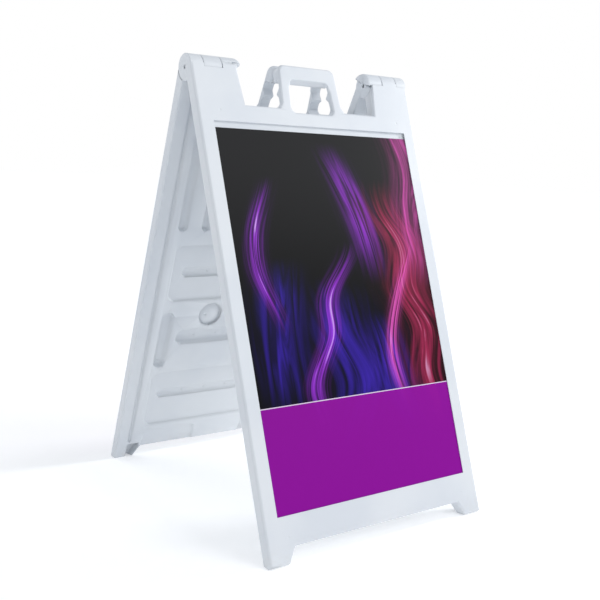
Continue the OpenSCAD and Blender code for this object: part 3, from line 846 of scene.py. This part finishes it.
@dataclass
class PlugLip:
    """The thin lip moulded round a plug's head, which closes the gap to its well.

    It starts inside the head's rim and stops just short of the well's wall, so the
    plug reads as one soft-edged boss and dirt stays out of the well.
    """

    frame: dict[str, Any]
    side: Side
    well_gap_mm: float = 3.0
    wall_clearance_mm: float = 0.2
    root_depth_mm: float = 0.6
    thickness_mm: float = 1.2
    rise_mm: float = 1.0
    edge_round_mm: float = 0.3
    edge_segments: int = 2
    edge_angle_deg: float = 30.0
    steps: int = 72

    def head(self) -> tuple[Vector, float, float]:
        """Measures the plug's head in the panel's flat coordinates.

        Returns:
            The middle of the head, its radius, and how far out its rim starts.
        """
        flatten = PANELS.matrix(self.side).inverted()
        plug = self.frame["nodes"][f"{self.side.value}_ballast_plug"]
        points = [flatten @ vertex.co for vertex in plug.data.vertices]
        across = [point.x for point in points]
        up = [point.y for point in points]
        middle = Vector(((min(across) + max(across)) / 2, (min(up) + max(up)) / 2, 0.0))
        radius = (max(across) - min(across)) / 2
        near_rim = radius - self.root_depth_mm * MM / 2
        rim = min(point.z for point in points if (point.xy - middle.xy).length > near_rim)
        return middle, radius, rim

    def build(self, material: bpy.types.Material) -> None:
        """Spins the lip's section round the plug and dresses it.

        Args:
            material: The plug's finish.
        """
        middle, radius, rim = self.head()
        inner = radius - self.root_depth_mm * MM
        outer = radius + (self.well_gap_mm - self.wall_clearance_mm) * MM
        near, thick, rise = rim + self.edge_round_mm * MM, self.thickness_mm * MM, self.rise_mm * MM
        section = ((inner, near), (outer, near - rise), (outer, near - rise + thick), (inner, near + thick))
        shape = bmesh.new()
        corners = [shape.verts.new(middle + Vector((reach, 0.0, out))) for reach, out in section]
        edges = [shape.edges.new((corners[i - 1], corners[i])) for i in range(len(corners))]
        bmesh.ops.spin(shape, geom=corners + edges, cent=middle, axis=(0.0, 0.0, 1.0), angle=math.tau,
                       steps=self.steps, use_merge=True, use_duplicate=False)
        rings = [edge for edge in shape.edges
                 if edge.calc_face_angle(0.0) > math.radians(self.edge_angle_deg)]
        bmesh.ops.bevel(shape, geom=rings, offset=self.edge_round_mm * MM, offset_type="OFFSET",
                        segments=self.edge_segments, profile=0.5, affect="EDGES", material=-1)
        bmesh.ops.transform(shape, matrix=PANELS.matrix(self.side), verts=shape.verts)
        bmesh.ops.recalc_face_normals(shape, faces=shape.faces)
        for face in shape.faces:
            face.smooth = True
        lip = add_object(shape, f"{self.side.value}_plug_lip")
        lip.data.materials.append(material)
        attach(lip, self.side.value)
        LOG.info("made %s, %d faces", lip.name, len(lip.data.polygons))


@dataclass
class Boards:
    """The printed boards with their film."""

    frame: dict[str, Any]
    sheet: TwinwallPolypropylene = field(default_factory=TwinwallPolypropylene)

    def build(self) -> None:
        """Dresses each board and its film."""
        white = self.sheet.build()
        for side in Side:
            dress(self.frame, f"{side.value}_sign_board", white)
            dress(self.frame, f"{side.value}_print_film", PrintedFilm(side).build())


@dataclass
class Fittings:
    """The hinge pins and the plugs' sealing rings."""

    frame: dict[str, Any]
    steel: DrawnSteel = field(default_factory=DrawnSteel)
    rubber: MouldedRubber = field(default_factory=MouldedRubber)

    def build(self) -> None:
        """Dresses the pins and the rings."""
        steel = self.steel.build()
        rubber = self.rubber.build()
        for node in ("left_hinge_pin", "right_hinge_pin"):
            dress(self.frame, node, steel)
        for node in ("front_plug_seal", "rear_plug_seal"):
            dress(self.frame, node, rubber)


# The studio


@dataclass
class Studio:
    """The floor, the lights and the camera round the sign."""

    camera_at: tuple[float, float, float] = (-1.34335, -1.89462, 0.90027)
    camera_right: tuple[float, float, float] = (0.813208, -0.580363, 0.04326)
    camera_up: tuple[float, float, float] = (0.091356, 0.200713, 0.975381)
    focal_px: float = 864.8
    picture_px: float = 600.0
    sensor_mm: float = 36.0
    middle_drop_px: float = 50.0
    floor_m: float = 60.0
    key_from: tuple[float, float, float] = (0.42, -0.72, 0.55)
    key_strength: float = 0.80
    fill_from: tuple[float, float, float] = (-0.3, 0.85, 0.45)
    fill_strength: float = 0.42
    soft_angle_deg: float = 36.0
    rake_from: tuple[float, float, float] = (2.0, -0.45, 1.6)
    rake_towards: tuple[float, float, float] = (0.0, 0.25, 0.5)
    rake_size: float = 0.4
    rake_watts: float = 22.0
    room_hex: str = "f1f5fb"
    room_strength: float = 0.67
    backdrop_hex: str = "ffffff"

    def build(self) -> None:
        """Builds the whole studio."""
        self.floor()
        self.lights()
        self.camera()

    def floor(self) -> None:
        """Lays a pale floor under the sign."""
        shape = bmesh.new()
        bmesh.ops.create_grid(shape, x_segments=8, y_segments=8, size=self.floor_m / 2)
        sweep = add_object(shape, "studio_floor")
        sweep.data.materials.append(PaperSweep().build())

    def lights(self) -> None:
        """Hangs a broad key and fill, a raking light through the open side and an even room."""
        for name, at, strength in (("key", self.key_from, self.key_strength),
                                   ("fill", self.fill_from, self.fill_strength)):
            broad = bpy.data.lights.new(name, "SUN")
            broad.energy = strength
            broad.angle = math.radians(self.soft_angle_deg)
            self.hang(broad, at, (0.0, 0.0, 0.0))
        # Low across the rear panel's inner face, so that its grooves and ribs show
        rake = bpy.data.lights.new("rake", "AREA")
        rake.size = self.rake_size
        rake.energy = self.rake_watts
        self.hang(rake, self.rake_from, self.rake_towards)
        self.room()
        # Shows white as white, as a product photograph on a white ground does
        bpy.context.scene.view_settings.view_transform = "Standard"

    def hang(self, lamp: bpy.types.Light, at: tuple[float, float, float],
             towards: tuple[float, float, float]) -> None:
        """Places a light and turns it to face a point.

        Args:
            lamp: The light.
            at: Where it hangs.
            towards: The point that it faces.
        """
        light = bpy.data.objects.new(lamp.name, lamp)
        facing = (Vector(towards) - Vector(at)).to_track_quat("-Z", "Y").to_matrix().to_4x4()
        light.matrix_world = Matrix.Translation(at) @ facing
        bpy.context.scene.collection.objects.link(light)

    def room(self) -> None:
        """Surrounds the sign with soft light, before a backdrop that shows plain white."""
        world = bpy.data.worlds.new("studio")
        world.use_nodes = True
        tree = world.node_tree
        tree.nodes.clear()
        seen = tree.nodes.new("ShaderNodeLightPath")
        blend = tree.nodes.new("ShaderNodeMixShader")
        output = tree.nodes.new("ShaderNodeOutputWorld")
        tree.links.new(seen.outputs["Is Camera Ray"], blend.inputs[0])
        for socket, hex_code, strength in ((1, self.room_hex, self.room_strength),
                                           (2, self.backdrop_hex, 1.0)):
            glow = tree.nodes.new("ShaderNodeBackground")
            glow.inputs["Color"].default_value = linear_rgba(hex_code)
            glow.inputs["Strength"].default_value = strength
            tree.links.new(glow.outputs["Background"], blend.inputs[socket])
        tree.links.new(blend.outputs["Shader"], output.inputs["Surface"])
        bpy.context.scene.world = world

    def camera(self) -> None:
        """Sets the camera where the photograph was taken from."""
        right = Vector(self.camera_right).normalized()
        up = Vector(self.camera_up)
        up = (up - right * up.dot(right)).normalized()
        back = right.cross(up)
        lens = bpy.data.cameras.new("photo_camera")
        lens.sensor_width = self.sensor_mm
        lens.lens = self.focal_px / self.picture_px * self.sensor_mm
        lens.shift_y = self.middle_drop_px / self.picture_px
        view = bpy.data.objects.new("photo_camera", lens)
        turn = Matrix((right, up, back)).transposed().to_4x4()
        view.matrix_world = Matrix.Translation(self.camera_at) @ turn
        bpy.context.scene.collection.objects.link(view)
        bpy.context.scene.camera = view


def main() -> None:
    """Loads the frame, dresses the sign and sets the studio."""
    logging.basicConfig(level=logging.INFO, format="%(message)s")
    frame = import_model()
    Mouldings(frame).build()
    Boards(frame).build()
    Fittings(frame).build()
    Studio().build()


if __name__ == "__main__":
    main()
